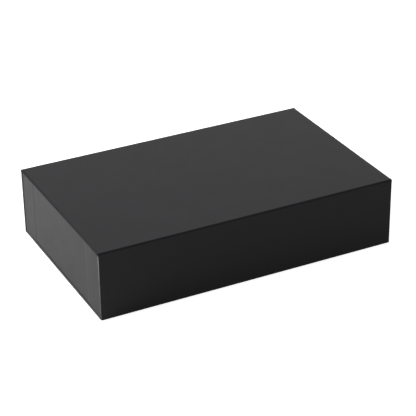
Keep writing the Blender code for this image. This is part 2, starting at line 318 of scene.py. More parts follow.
def cut(shape, place, normal, geom=None, clear=False):
    """Cuts a shape, or some of it, along a plane. clear takes away what lies beyond."""
    geom = geom or list(shape.verts) + list(shape.edges) + list(shape.faces)
    bmesh.ops.bisect_plane(
        shape, geom=geom, dist=CUT_DISTANCE, plane_co=place, plane_no=normal, clear_outer=clear,
    )


def rounded_block(low, high, radius, open_sides):
    """A box with rounded edges. It is cut off square at each open side, a direction, and closed there."""
    shape = bmesh.new()
    bmesh.ops.create_cube(shape, size=1)
    bmesh.ops.scale(shape, vec=high - low, verts=shape.verts)
    bmesh.ops.translate(shape, vec=(low + high) / 2, verts=shape.verts)
    middle = (low + high) / 2
    for side in open_sides:
        for vertex in shape.verts:
            if (vertex.co - middle).dot(side) > 0:
                vertex.co += side * RUN_OUT * radius
    bmesh.ops.bevel(
        shape, geom=list(shape.edges) + list(shape.verts), offset=radius, offset_type="OFFSET",
        segments=ARC_STEPS, profile=0.5, affect="EDGES", clamp_overlap=True,
    )
    for side in open_sides:
        cut(shape, high if sum(side) > 0 else low, side, clear=True)
    return shape


def close_ends(shape):
    holes = [edge for edge in shape.edges if edge.is_boundary]
    bmesh.ops.holes_fill(shape, edges=holes, sides=0)


def cut_window(shape, inner, low, high):
    """Takes away the part of the face on the inner side that lies between two corners."""
    axes = [axis for axis in range(3) if not inner[axis]]
    for axis in axes:
        for edge in (low, high):
            normal = Vector((0, 0, 0))
            normal[axis] = 1
            faces = [face for face in shape.faces if face.normal.dot(inner) > SAME_WAY]
            parts = dict.fromkeys(part for face in faces for part in (face, *face.edges, *face.verts))
            cut(shape, edge, normal, list(parts))
    gone = []
    for face in shape.faces:
        centre = face.calc_center_median()
        inside = all(low[axis] < centre[axis] < high[axis] for axis in axes)
        if inside and face.normal.dot(inner) > SAME_WAY:
            gone.append(face)
    bmesh.ops.delete(shape, geom=gone, context="FACES")


def ease_ends(shape, low, high):
    """Presses a panel's upper face down towards its two ends, as shears do to the cut edge of board."""
    size = sizes()
    for side in (-1, 1):
        for step in range(EASE_CUTS):
            at = high.x - size.eased_width * (1 - step / EASE_SPANS)
            cut(shape, (side * at, 0, 0), ACROSS)
    for vertex in shape.verts:
        vertex.co.z -= size.eased_drop * pressed(vertex.co, low, high)


def covered_panel(name, board, inner, turned, radius):
    """Covering paper round a cover board: over its outer face, round its turned sides and in."""
    size = sizes()
    low, high = grown(board, SKIN)
    flat = [side for side in (ACROSS, INTO, UP) if not side.dot(inner)]
    sides = [side * way for side in flat for way in (-1, 1)]
    open_sides = [side for side in sides if side not in turned]
    shape = rounded_block(low, high, radius, open_sides)
    close_ends(shape)
    if board == "lid_board":
        ease_ends(shape, low, high)
    window_low, window_high = low.copy(), high.copy()
    for side in sides:
        edge = window_high if sum(side) > 0 else window_low
        edge += side * (size.turn_in if side in open_sides else -size.turn_in)
    cut_window(shape, inner, window_low, window_high)
    obj = finish_paper(name, mesh_from(shape, name), covering(), size.paper)
    if board == "lid_board":
        mark_pressed_and_shaded(obj.data, low, high)
    # rubbed paper and a painted highlight on the flap's side edges
    if board == "flap_board":
        mark_rub_highlight(obj.data, low, high, radius, flap_rub_highlight)
    if board == "bottom_board":  # rubbed paper and a painted highlight at the bottom panel's ends
        mark_rub_highlight(obj.data, low, high, radius, lambda up: BOTTOM_RUB_HIGHLIGHT)
    # rubbed paper and a painted highlight at the spine panel's ends
    if board == "spine_board":
        mark_rub_highlight(obj.data, low, high, radius, lambda up: SPINE_RUB_HIGHLIGHT)
    return obj


def rounded_path(points, radii):
    """Rounds a path's corners. A point is (a, b, low, high): in the section, and the sheet's ends."""
    path = [Vector(points[0])]
    for before, here, after, radius in zip(points, points[1:], points[2:], radii):
        before, here, after = Vector(before), Vector(here), Vector(after)
        back = (before - here).to_2d()
        on = (after - here).to_2d()
        turn = math.pi - back.angle(on)
        if turn < STRAIGHT:      # only the sheet's width changes here, so there is nothing to round
            path.append(here)
            continue
        reach = radius * math.tan(turn / 2)
        start = here + (before - here) * (reach / back.length)
        end = here + (after - here) * (reach / on.length)
        bisector = (back.normalized() + on.normalized()).normalized()
        centre = here.to_2d() + bisector * (radius / math.cos(turn / 2))
        first = start.to_2d() - centre
        way = 1 if first.cross(end.to_2d() - centre) > 0 else -1
        for step in range(ARC_STEPS + 1):
            share = step / ARC_STEPS
            spot = centre + Matrix.Rotation(way * turn * share, 2) @ first
            ends = start.lerp(end, share)
            path.append(Vector((spot.x, spot.y, ends[2], ends[3])))
    path.append(Vector(points[-1]))
    return path


def spread(low, high, lines, width, coarse):
    """Places from low to high: wide steps, and fine ones about each line."""
    marks = {low, high}
    count = max(1, round((high - low) / coarse))
    marks.update(low + (high - low) * step / count for step in range(count + 1))
    for line in lines:
        marks.update(line + width * (step / SOFT_SPANS - 1) for step in range(2 * SOFT_SPANS + 1))
    kept = sorted(mark for mark in marks if low <= mark <= high)
    return [mark for mark, after in zip(kept, kept[1:] + [high + 1]) if after - mark > width * CLOSE_SHARE]


def soft_step(value, at, width):
    """Nought before a line, one after it, and smooth over the width about it."""
    share = min(1.0, max(0.0, (value - at) / width + 0.5))
    return share * share * (3 - 2 * share)


def grid_surface(rows):
    """An open surface through rows of points."""
    shape = bmesh.new()
    grid = [[shape.verts.new(point) for point in row] for row in rows]
    for row, after in zip(grid, grid[1:]):
        for place in range(len(row) - 1):
            shape.faces.new((row[place], row[place + 1], after[place + 1], after[place]))
    return shape


def face_out(shape, face_point, outward):
    """Turns the whole open surface so that the face nearest a point looks outward."""
    bmesh.ops.recalc_face_normals(shape, faces=shape.faces)
    nearest = min(shape.faces, key=lambda face: (face.calc_center_median() - face_point).length)
    if nearest.normal.dot(outward) < 0:
        bmesh.ops.reverse_faces(shape, faces=shape.faces)


def plate(shape, low, high):
    """Adds a thin closed block of paper to a mesh that is being made."""
    made = bmesh.ops.create_cube(shape, size=1)["verts"]
    bmesh.ops.scale(shape, vec=high - low, verts=made)
    bmesh.ops.translate(shape, vec=(low + high) / 2, verts=made)


def join_plates(obj, plates):
    """Joins hidden paper tabs, each between two corners, to a finished piece."""
    shape = bmesh.new()
    shape.from_mesh(obj.data)
    for low, high in plates:
        plate(shape, Vector(low), Vector(high))
    shape.to_mesh(obj.data)
    shape.free()
    obj.data.update()


# ---------------------------------------------------------------- materials


def add_node(tree, kind, inputs=None, **settings):
    """Adds a node, sets it, and fills its inputs with values or with other nodes' outputs. A node that is
    given as a value stands for its first output."""
    node = tree.nodes.new(kind)
    for name, value in settings.items():
        setattr(node, name, value)
    for place, value in (inputs or {}).items():
        if isinstance(value, bpy.types.Node):
            value = value.outputs[0]
        if isinstance(value, bpy.types.NodeSocket):
            tree.links.new(value, node.inputs[place])
        else:
            node.inputs[place].default_value = value
    return node


def new_material(name, tone, **shader_inputs):
    """A material with a Principled shader. Even values go straight to the shader's sockets."""
    made = bpy.data.materials.new(name)
    made.use_nodes = True
    made.diffuse_color = (*tone, 1)
    shader = made.node_tree.nodes["Principled BSDF"]
    shader.inputs["Base Color"].default_value = (*tone, 1)
    for socket, value in shader_inputs.items():
        shader.inputs[socket.replace("_", " ")].default_value = value
    return made, made.node_tree, shader


def share_of(tone, share):
    """A colour at a share of its brightness, with its alpha."""
    return (*(min(1.0, channel * share) for channel in tone), 1)


def shades(tree, pattern, tone, dark, light):
    """Shades of one colour by a pattern, from dark to light times its own tone."""
    share = add_node(tree, "ShaderNodeMapRange", {"Value": pattern, **NOISE_MIDDLE})
    return add_node(
        tree, "ShaderNodeMix", {0: share, 6: share_of(tone, dark), 7: share_of(tone, light)},
        data_type="RGBA",
    ).outputs[2]


def covering_paper():
    """Fine paper dyed black in the pulp and smoothed between rollers: an even, near neutral black, low in
    sheen, faintly cloudy from the pulp, with rubbed grey fibres and a painted highlight along some edges,
    and painted shade along the lid's pressed ends."""
    tone = colours().covering
    pulp_cloud, paste_patch, rub_highlight_patch = 0.035, 0.013, 0.006
    fibre_spot, felt_spot = 0.0011, 0.0006     # drawn coarser than real fibres, so that they show
    press_depth, tooth_depth = 0.0015, 0.00003
    made, tree, shader = new_material(
        "covering_paper_dyed_calendered", tone, Roughness=0.40, IOR=1.45, Specular_IOR_Level=0.19,
    )
    place = add_node(tree, "ShaderNodeTexCoord").outputs["Object"]
    felt = add_node(               # fibres lie mostly along the sheet
        tree, "ShaderNodeMapping", {"Vector": place, "Scale": (0.35, 1.0, 1.0)},
    )
    patterns = (
        (place, pulp_cloud, 3), (place, fibre_spot, 4), (felt, felt_spot, 2),
        (place, paste_patch, 3), (place, rub_highlight_patch, 3),
    )
    cloud, fibre, along, paste, rub_highlight_noise = [
        add_node(
            tree, "ShaderNodeTexNoise",
            {"Vector": at, "Scale": 1 / spot, "Detail": detail, "Roughness": FINE_SHARE},
        )
        for at, spot, detail in patterns
    ]
    mottle = add_node(tree, "ShaderNodeMath", {0: fibre, 1: along}, operation="ADD")
    mottle = add_node(tree, "ShaderNodeMath", {0: mottle, 1: 0.5}, operation="MULTIPLY")
    body = shades(tree, mottle, tone, 0.96, 1.04)
    cloudy = add_node(tree, "ShaderNodeMapRange", {"Value": cloud, **NOISE_MIDDLE, "To Max": 0.35})
    body = add_node(
        tree, "ShaderNodeMix", {0: cloudy, 6: body, 7: share_of(tone, 0.9)}, data_type="RGBA",
    ).outputs[2]
    # painted highlight mixed with rubbed paper: a pale grey laid on the edges that this attribute marks
    rub_highlight_mask = add_node(tree, "ShaderNodeAttribute", attribute_name="edge_rub").outputs["Fac"]
    patches = add_node(tree, "ShaderNodeMapRange", {"Value": rub_highlight_noise, **NOISE_MIDDLE, "To Min": 0.5})
    rubbed_and_highlit = add_node(tree, "ShaderNodeMath", {0: rub_highlight_mask, 1: patches}, operation="MULTIPLY")
    body = add_node(
        tree, "ShaderNodeMix", {0: rubbed_and_highlit, 6: body, 7: (*colours().rubbed_and_highlit, 1)}, data_type="RGBA",
    ).outputs[2]
    # the lid's pressed ends: painted shade in the colour, and real roughness and relief
    pressed_shade_mask = add_node(tree, "ShaderNodeAttribute", attribute_name="edge_press").outputs["Fac"]
    body = add_node(               # painted shade along the lid's pressed end edges; the roughness below also makes them duller
        tree, "ShaderNodeMix", {0: pressed_shade_mask, 6: body, 7: share_of(tone, 0.1)}, data_type="RGBA",
    ).outputs[2]
    tree.links.new(body, shader.inputs["Base Color"])
    uneven = add_node(tree, "ShaderNodeMath", {0: cloud, 1: paste}, operation="ADD")
    uneven = add_node(tree, "ShaderNodeMath", {0: uneven, 1: 0.5}, operation="MULTIPLY")
    smooth = add_node(
        tree, "ShaderNodeMapRange", {"Value": uneven, **NOISE_MIDDLE, "To Min": 0.37, "To Max": 0.42},
    )
    rough = add_node(tree, "ShaderNodeMath", {0: pressed_shade_mask, 1: 0.5, 2: smooth}, operation="MULTIPLY_ADD")
    tree.links.new(rough.outputs[0], shader.inputs["Roughness"])
    tooth = add_node(
        tree, "ShaderNodeBump", {"Height": mottle, "Strength": 0.12, "Distance": tooth_depth},
    )
    relief = add_node(
        tree, "ShaderNodeBump",
        {"Height": pressed_shade_mask, "Strength": 1.0, "Distance": press_depth, "Normal": tooth}, invert=True,
    )
    tree.links.new(relief.outputs[0], shader.inputs["Normal"])
    return made


def lining_paper():
    """Uncoated black lining paper, pasted down: duller than the covering, with a plain fibre tooth."""
    tone = colours().lining
    tooth_spot, paste_patch, tooth_depth = 0.0009, 0.02, 0.00008   # a coarser tooth than the real one
    made, tree, shader = new_material(
        "lining_paper_uncoated", tone, Roughness=0.72, IOR=1.45, Specular_IOR_Level=0.16,
    )
    place = add_node(tree, "ShaderNodeTexCoord").outputs["Object"]
    tooth = add_node(
        tree, "ShaderNodeTexNoise",
        {"Vector": place, "Scale": 1 / tooth_spot, "Detail": 4, "Roughness": 0.65},
    )
    tree.links.new(shades(tree, tooth, tone, 0.82, 1.2), shader.inputs["Base Color"])
    paste = add_node(
        tree, "ShaderNodeTexNoise",
        {"Vector": place, "Scale": 1 / paste_patch, "Detail": 2, "Roughness": FINE_SHARE},
    )
    rough = add_node(
        tree, "ShaderNodeMapRange", {"Value": paste, **NOISE_MIDDLE, "To Min": 0.70, "To Max": 0.74},
    )
    tree.links.new(rough.outputs[0], shader.inputs["Roughness"])
    relief = add_node(
        tree, "ShaderNodeBump", {"Height": tooth, "Strength": 0.4, "Distance": tooth_depth},
    )
    tree.links.new(relief.outputs[0], shader.inputs["Normal"])
    return made


def greyboard():
    """Board pressed from waste paper: warm grey, flecked with darker and paler fibres, quite matt."""
    tone = colours().greyboard
    pulp_clump, fleck_size, pulp_depth = 0.004, 0.0012, 0.0001
    made, tree, shader = new_material("greyboard_pressed", tone, Roughness=0.92, Specular_IOR_Level=0.25)
    place = add_node(tree, "ShaderNodeTexCoord").outputs["Object"]
    pulp = add_node(
        tree, "ShaderNodeTexNoise",
        {"Vector": place, "Scale": 1 / pulp_clump, "Detail": 5, "Roughness": 0.7},
    )
    fleck = add_node(
        tree, "ShaderNodeTexNoise",
        {"Vector": place, "Scale": 1 / fleck_size, "Detail": 2, "Roughness": FINE_SHARE},
    )
    spots = add_node(
        tree, "ShaderNodeMapRange", {"Value": fleck, "From Min": 0.66, "From Max": 0.72, "To Max": 0.5},
    )
    body = add_node(
        tree, "ShaderNodeMix",
        {0: spots, 6: shades(tree, pulp, tone, 0.82, 1.12), 7: share_of(tone, 0.35)},
        data_type="RGBA",
    ).outputs[2]
    tree.links.new(body, shader.inputs["Base Color"])
    relief = add_node(
        tree, "ShaderNodeBump", {"Height": pulp, "Strength": 0.5, "Distance": pulp_depth},
    )
    tree.links.new(relief.outputs[0], shader.inputs["Normal"])
    return made


def kraft_tape():
    """Gummed kraft tape: brown unbleached paper with long fibres along the roll."""
    tone = colours().tape
    fibre_width, fibre_depth = 0.0008, 0.00005   # wider than real fibres, so that they show
    made, tree, shader = new_material("kraft_tape_gummed", tone, Roughness=0.8, Specular_IOR_Level=0.3)
    place = add_node(tree, "ShaderNodeTexCoord").outputs["Object"]
    rolled = add_node(tree, "ShaderNodeMapping", {"Vector": place, "Scale": (1.0, 1.0, 0.12)})
    fibre = add_node(
        tree, "ShaderNodeTexNoise",
        {"Vector": rolled, "Scale": 1 / fibre_width, "Detail": 3, "Roughness": FINE_SHARE},
    )
    tree.links.new(shades(tree, fibre, tone, 0.8, 1.15), shader.inputs["Base Color"])
    relief = add_node(
        tree, "ShaderNodeBump", {"Height": fibre, "Strength": 0.3, "Distance": fibre_depth},
    )
    tree.links.new(relief.outputs[0], shader.inputs["Normal"])
    return made


def plated_metal(name, tone, rough, grit):
    """Barrel-plated metal: bright, with the random scratches of the drum, drawn coarse enough to show."""
    scratch_depth = 0.00002
    made, tree, shader = new_material(name, tone, Roughness=rough, Metallic=1.0)
    place = add_node(tree, "ShaderNodeTexCoord").outputs["Object"]
    scratch = add_node(
        tree, "ShaderNodeTexNoise",
        {"Vector": place, "Scale": 1 / grit, "Detail": 4, "Roughness": 0.7},
    )
    dulled = add_node(
        tree, "ShaderNodeMapRange",
        {"Value": scratch, **NOISE_MIDDLE, "To Min": rough * 0.7, "To Max": rough * 1.4},
    )
    tree.links.new(dulled.outputs[0], shader.inputs["Roughness"])
    tree.links.new(shades(tree, scratch, tone, 0.88, 1.05), shader.inputs["Base Color"])
    relief = add_node(
        tree, "ShaderNodeBump", {"Height": scratch, "Strength": 0.15, "Distance": scratch_depth},
    )
    tree.links.new(relief.outputs[0], shader.inputs["Normal"])
    return made


def named_finish(name, make):
    """A finish is made once and shared by all its pieces."""
    for made in bpy.data.materials:
        if made.get("finish") == name:
            return made
    made = make()
    made["finish"] = name
    return made


def covering():
    return named_finish("covering_paper", covering_paper)


def lining():
    return named_finish("lining_paper", lining_paper)


def settle(obj, body, slot, *nodes):
    """The piece rides on its body, and stands for its CAD nodes."""
    if nodes:
        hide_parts(*nodes)
    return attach(obj, body)


# ---------------------------------------------------------------- Geometry Nodes


def new_tree(name, inputs):
    """A Geometry Nodes tree with named inputs. Returns it with its input and output nodes."""
    tree = bpy.data.node_groups.new(name, "GeometryNodeTree")
    tree.interface.new_socket("Geometry", in_out="INPUT", socket_type="NodeSocketGeometry")
    for label, kind in inputs:
        tree.interface.new_socket(label, in_out="INPUT", socket_type=kind)
    tree.interface.new_socket("Geometry", in_out="OUTPUT", socket_type="NodeSocketGeometry")
    given = tree.nodes.new("NodeGroupInput").outputs
    result = tree.nodes.new("NodeGroupOutput").inputs
    return tree, given, result


def end_tree(tree, given, result, geometry):
    real = add_node(tree, "GeometryNodeRealizeInstances", {"Geometry": geometry}).outputs[0]
    named = add_node(
        tree, "GeometryNodeSetMaterial", {"Geometry": real, "Material": given["Material"]},
    ).outputs[0]
    tree.links.new(named, result[0])
    return tree


def fold_tree():
    """Paper over a fold: the path's corner is rounded, and a flat section is drawn along it."""
    tree, given, result = new_tree("paper_over_a_fold", [
        ("Length", "NodeSocketFloat"), ("Thickness", "NodeSocketFloat"),
        ("Crease Radius", "NodeSocketFloat"), ("Steps", "NodeSocketInt"),
        ("Material", "NodeSocketMaterial"),
    ])
    path = add_node(tree, "GeometryNodeMeshToCurve", {"Mesh": given["Geometry"]}).outputs[0]
    eased = add_node(
        tree, "GeometryNodeFilletCurve",
        {"Curve": path, "Radius": given["Crease Radius"], "Count": CREASE_STEPS}, mode="POLY",
    ).outputs[0]
    even = add_node(
        tree, "GeometryNodeResampleCurve", {"Curve": eased, "Count": given["Steps"]}, mode="COUNT",
    ).outputs[0]
    level = add_node(tree, "GeometryNodeSetCurveNormal", {"Curve": even}, mode="Z_UP").outputs[0]
    section = add_node(
        tree, "GeometryNodeCurvePrimitiveQuadrilateral",
        {"Width": given["Length"], "Height": given["Thickness"]}, mode="RECTANGLE",
    ).outputs[0]
    third = add_node(tree, "ShaderNodeMath", {0: given["Thickness"], 1: 1 / 3}, operation="MULTIPLY")
    section = add_node(
        tree, "GeometryNodeFilletCurve", {"Curve": section, "Radius": third, "Count": 2}, mode="POLY",
    ).outputs[0]
    paper = add_node(
        tree, "GeometryNodeCurveToMesh", {"Curve": level, "Profile Curve": section, "Fill Caps": True},
    ).outputs[0]
    return end_tree(tree, given, result, paper)


def print_tree():
    """A round print in the paper over each sunk disc: a low flat-topped rise on every given point."""
    tree, given, result = new_tree("disc_prints", [
        ("Radius", "NodeSocketFloat"), ("Rise", "NodeSocketFloat"), ("Slope", "NodeSocketFloat"),
        ("Turn", "NodeSocketRotation"), ("Material", "NodeSocketMaterial"),
    ])
    foot = add_node(tree, "ShaderNodeMath", {0: given["Radius"], 1: given["Slope"]}, operation="ADD")
    rise = add_node(
        tree, "GeometryNodeMeshCone",
        {
            "Vertices": PRINT_SIDES, "Radius Top": given["Radius"], "Radius Bottom": foot,
            "Depth": given["Rise"],
        },
    ).outputs["Mesh"]
    placed = add_node(
        tree, "GeometryNodeInstanceOnPoints",
        {"Points": given["Geometry"], "Instance": rise, "Rotation": given["Turn"]},
    ).outputs[0]
    return end_tree(tree, given, result, placed)


def grow_nodes(name, points, edges, tree, values):
    """Runs a tree on a small mesh of points and edges, and returns the result as one plain mesh object."""
    mesh = bpy.data.meshes.new(name)
    mesh.from_pydata([tuple(point) for point in points], edges, [])
    obj = bpy.data.objects.new(name, mesh)
    bpy.context.scene.collection.objects.link(obj)
    grow = obj.modifiers.new("grow", "NODES")
    grow.node_group = tree
    for item in tree.interface.items_tree:
        if item.in_out == "INPUT" and item.name in values:
            grow[item.identifier] = values[item.name]
    bake_modifiers(obj)
    shape = bmesh.new()
    shape.from_mesh(obj.data)
    bmesh.ops.remove_doubles(shape, verts=shape.verts, dist=WELD_DISTANCE)
    bmesh.ops.recalc_face_normals(shape, faces=shape.faces)
    shape.to_mesh(obj.data)
    shape.free()
    if not obj.data.polygons:
        raise RuntimeError(f"{name} came out empty")
    return shade(obj)


def fold_strip(name, path, wide, crease, finish):
    """A strip of paper over a fold. The path runs towards +Y, in the middle of the paper."""
    size = sizes()
    tree = bpy.data.node_groups.get("paper_over_a_fold") or fold_tree()
    values = {
        "Length": wide, "Thickness": size.fold_paper, "Crease Radius": crease, "Steps": FOLD_STEPS,
        "Material": finish,
    }
    points = [Vector((0, y, z)) for y, z in path]
    edges = [(place, place + 1) for place in range(len(points) - 1)]
    return grow_nodes(name, points, edges, tree, values)


# ---------------------------------------------------------------- pieces


class MakeCoverPapers(bpy.types.Operator):
    """Covering paper round the lid, flap, bottom and spine boards"""
    bl_idname = "storage_box.cover_papers"
    bl_label = "Cover papers"

    def execute(self, context):
        size = sizes()
        ends = [-ACROSS, ACROSS]
        panels = (
            ("lid", -UP, ends, size.lid_edge),
            ("flap", INTO, ends + [-UP], size.board_edge),
            ("bottom", UP, ends + [-INTO], size.tight_edge),
            ("spine", -INTO, ends, size.tight_edge),
        )
        for panel, inner, turned, radius in panels:
            obj = covered_panel(panel + "_covering_paper", panel + "_board", inner, turned, radius)
            body = panel if panel in ("lid", "flap") else "box"
            settle(obj, body, "covering_paper", panel + "_wrap")
        return {"FINISHED"}


class MakeFoldPapers(bpy.types.Operator):
    """Covering paper over the three folds of the cover, and lining paper inside the two that move"""
    bl_idname = "storage_box.fold_papers"
    bl_label = "Fold papers"

    def execute(self, context):
        size = sizes()
        low, high = CAD_BOX
        half_paper = size.fold_paper / 2
        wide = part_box("flap_wrap")[1].x * 2
        lid_low, lid_high = grown("lid_board", SKIN)
        flap_low, flap_high = grown("flap_board", SKIN)
        spine_low, spine_high = grown("spine_board", SKIN)
        bottom_low, bottom_high = grown("bottom_board", SKIN)
        top = lid_high.z - half_paper
        front, back = flap_low.y + half_paper, spine_high.y - half_paper

        flap_fold = fold_strip(
            "flap_fold_paper", [(front, flap_high.z), (front, top), (lid_low.y, top)],
            wide, size.crease, covering(),
        )
        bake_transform(flap_fold)
        lid_fold = fold_strip(
            "lid_fold_paper", [(lid_high.y, top), (back, top), (back, spine_high.z)],
            wide, size.crease, covering(),
        )
        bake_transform(lid_fold)
        base = bottom_low.z + half_paper
        base_fold = fold_strip(
            "base_fold_paper", [(bottom_high.y, base), (back, base), (back, spine_low.z)],
            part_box("bottom_wrap")[1].x * 2, size.base_crease, covering(),
        )
        settle(base_fold, "box", "covering_paper")

        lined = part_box("flap_liner")[1].x * 2
        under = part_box("lid_liner")[0].z + half_paper
        inside_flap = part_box("flap_liner")[1].y - half_paper
        inside_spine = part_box("spine_liner")[0].y + half_paper
        flap_lining = fold_strip(
            "flap_fold_lining", [(inside_flap, flap_high.z), (lid_low.y, under)], lined, 0.0, lining(),
        )
        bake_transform(flap_lining)
        lid_lining = fold_strip(
            "lid_fold_lining", [(lid_high.y, under), (inside_spine, spine_high.z)], lined, 0.0, lining(),
        )
        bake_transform(lid_lining)
        return {"FINISHED"}


def lining_sheet(name, liner, board, inner, lines):
    """Lining paper on a panel. It runs to the folds, and sinks a little between the turned-in papers.
    lines holds (axis, place, way): a turn-in's edge, and the way to the middle from it."""
    size = sizes()
    low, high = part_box(liner)
    board_low, board_high = grown(board, SKIN)
    thin = [axis for axis in range(3) if inner[axis]][0]
    first, second = [axis for axis in range(3) if axis != thin]
    ends_low, ends_high = low.copy(), high.copy()
    ends_high[second] = board_high[second]
    if board == "lid_board":
        ends_low[second] = board_low[second]
    marks = []
    for axis in (first, second):
        at = [place for line_axis, place, way in lines if line_axis == axis]
        marks.append(spread(ends_low[axis], ends_high[axis], at, size.step_width, WIDE_STEP))
    shown = high[thin] if inner[thin] > 0 else low[thin]
    rows = []
    for u in marks[0]:
        row = []
        for v in marks[1]:
            point = Vector((0, 0, 0))
            point[first], point[second] = u, v
            sunk = 1.0
            for axis, place, way in lines:
                sunk *= soft_step((point[axis] - place) * way, 0, size.step_width)
            point[thin] = shown - inner[thin] * size.lining_sink * sunk
            row.append(point)
        rows.append(row)
    shape = grid_surface(rows)
    face_out(shape, Vector(rows[0][0]), inner)
    return finish_paper(name, mesh_from(shape, name), lining(), size.paper)


class MakeLinings(bpy.types.Operator):
    """Lining papers of the lid, flap and spine, and the tray's floor paper"""
    bl_idname = "storage_box.linings"
    bl_label = "Linings"

    def execute(self, context):
        size = sizes()
        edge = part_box("flap_wrap")[1].x - size.turn_in
        across = [(0, -edge, 1), (0, edge, -1)]
        flap_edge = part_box("flap_wrap")[0].z + size.turn_in
        obj = lining_sheet("lid_lining_paper", "lid_liner", "lid_board", -UP, across)
        settle(obj, "lid", "lining_paper", "lid_liner")
        lines = across + [(2, flap_edge, 1)]
        obj = lining_sheet("flap_lining_paper", "flap_liner", "flap_board", INTO, lines)
        settle(obj, "flap", "lining_paper", "flap_liner")
        obj = lining_sheet("spine_lining_paper", "spine_liner", "spine_board", -INTO, across)
        settle(obj, "box", "lining_paper", "spine_liner")

        low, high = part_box("tray_floor_liner")
        more = Vector((size.floor_reach, size.floor_reach, 0))
        low, high = low - more, high + more
        shape = bmesh.new()
        plate(shape, low, high)
        bmesh.ops.bevel(
            shape, geom=list(shape.edges), offset=size.paper / 3, segments=2, profile=0.5,
            affect="EDGES",
        )
        obj = new_object("tray_floor_lining_paper", mesh_from(shape, "tray_floor_lining_paper"), lining())
        settle(shade(obj), "box", "lining_paper", "tray_floor_liner")
        return {"FINISHED"}


def long_side_paper(where, way):
    """Paper of a long tray side: a closed skin over the wall, ears and a foot. way is 1 at the front."""
    size = sizes()
    low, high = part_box(f"tray_{where}_wrap")
    board_low, board_high = grown(f"tray_{where}_board", SKIN)
    outer = low.y if way > 0 else high.y
    inner = board_high.y if way > 0 else board_low.y
    low.z -= size.seam_close
    if way < 0:
        outer += size.seam_close
    wall_low = Vector((low.x, min(outer, inner), low.z))
    wall_high = Vector((high.x, max(outer, inner), high.z))
    shape = rounded_block(wall_low, wall_high, size.tight_edge, [-UP])
    name = f"tray_{where}_paper"
    obj = finish_paper(name, mesh_from(shape, name), covering(), size.paper)
    far = high.y if way > 0 else low.y
    plates = []
    for side in (-1, 1):
        face = side * high.x
        xs = sorted((face, face - side * size.paper))
        ys = sorted((inner, far))
        plates.append(((xs[0], ys[0], low.z + size.ear_inset), (xs[1], ys[1], high.z - size.ear_inset)))
    ys = sorted((outer + way * size.paper, outer + way * size.foot))
    plates.append(((low.x + size.foot, ys[0], low.z), (high.x - size.foot, ys[1], low.z + size.paper)))
    join_plates(obj, plates)
    return obj


def end_paper(where, side):
    """Paper of a tray end, from under the floor over the ears, the rim and down inside. It rises over what
    it hides."""
    size = sizes()
    low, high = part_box(f"tray_{where}_wrap")
    board_low, board_high = grown(f"tray_{where}_board", SKIN)
    low.z -= size.seam_close
    outer = low.x if side < 0 else high.x
    inner = board_high.x if side < 0 else board_low.x
    foot_end = high.x if side < 0 else low.x
    foot = abs(foot_end - outer)
    front, back = low.y - size.end_reach, high.y + size.end_reach
    inner_front = grown("tray_front_board", SKIN)[1].y
    inner_back = grown("tray_back_board", SKIN)[0].y
    mitre = high.z - size.mitre_drop
    points = [
        (foot_end, low.z, front + foot, back - foot),
        (outer, low.z, front, back),
        (outer, mitre, front, back),
        (outer, high.z, inner_front, inner_back),
        (inner, high.z, inner_front, inner_back),
        (inner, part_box("tray_floor_liner")[1].z, inner_front, inner_back),
    ]
    path = rounded_path(points, (size.tight_edge, 0.0, size.rim_edge, size.rim_edge))

    ear_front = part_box("tray_front_wrap")[1].y
    ear_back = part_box("tray_back_wrap")[0].y
    stay_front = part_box("corner_stay_front_" + where)[1].y
    stay_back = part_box("corner_stay_back_" + where)[0].y
    lines = (ear_front, ear_back, stay_front, stay_back)
    marks = spread(front, back, lines, size.step_width, END_STEP)
    shares = [(mark - front) / (back - front) for mark in marks]

    def sunk(y):
        ears = soft_step(y, ear_front, size.step_width) * (1 - soft_step(y, ear_back, size.step_width))
        stays = soft_step(y, stay_front, size.step_width) * (1 - soft_step(y, stay_back, size.step_width))
        return ears * size.ear_rise + stays * size.stay_rise

    rows = []
    for a, b, start, end in path:
        near_face = 1 - min(1.0, abs(a - outer) / size.rim_edge)
        row = []
        for share in shares:
            y = start + (end - start) * share
            row.append(Vector((a - side * sunk(y) * near_face, y, b)))
        rows.append(row)
    shape = grid_surface(rows)
    face_out(shape, Vector((outer, 0, (low.z + high.z) / 2)), ACROSS * side)
    name = f"tray_{where}_paper"
    return finish_paper(name, mesh_from(shape, name), covering(), size.paper)


class MakeTrayPapers(bpy.types.Operator):
    """Covering paper of the tray's two long sides and its two ends"""
    bl_idname = "storage_box.tray_papers"
    bl_label = "Tray papers"

    def execute(self, context):
        for where, way in (("front", 1), ("back", -1)):
            settle(long_side_paper(where, way), "box", "covering_paper", f"tray_{where}_wrap")
        for where, side in (("left", -1), ("right", 1)):
            settle(end_paper(where, side), "box", "covering_paper", f"tray_{where}_wrap")
        return {"FINISHED"}


class MakeDiscPrints(bpy.types.Operator):
    """Faint round prints in the paper over the sunk magnets and steel discs"""
    bl_idname = "storage_box.disc_prints"
    bl_label = "Disc prints"

    def execute(self, context):
        size = sizes()
        tree = print_tree()
        flap_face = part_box("flap_liner")[1].y - size.lining_sink
        tray_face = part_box("tray_front_wrap")[0].y
        sets = (
            ("magnet_prints", "flap_magnet", flap_face, 1, "flap", "lining_paper", lining()),
            ("keeper_prints", "keeper", tray_face, -1, "box", "covering_paper", covering()),
        )
        for name, disc, face, way, body, slot, finish in sets:
            points = []
            for side in ("left", "right"):
                low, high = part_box(f"{disc}_{side}")
                middle = (low + high) / 2
                points.append(Vector((middle.x, face - way * size.print_rise, middle.z)))
            radius = (high.x - low.x) / 2
            values = {
                "Radius": radius, "Slope": 3 * size.print_rise,
                "Rise": 2 * size.print_rise,   # half of it is sunk
                "Turn": (-way * math.pi / 2, 0.0, 0.0), "Material": finish,
            }
            obj = grow_nodes(name, points, [], tree, values)
            settle(obj, body, slot)
        return {"FINISHED"}


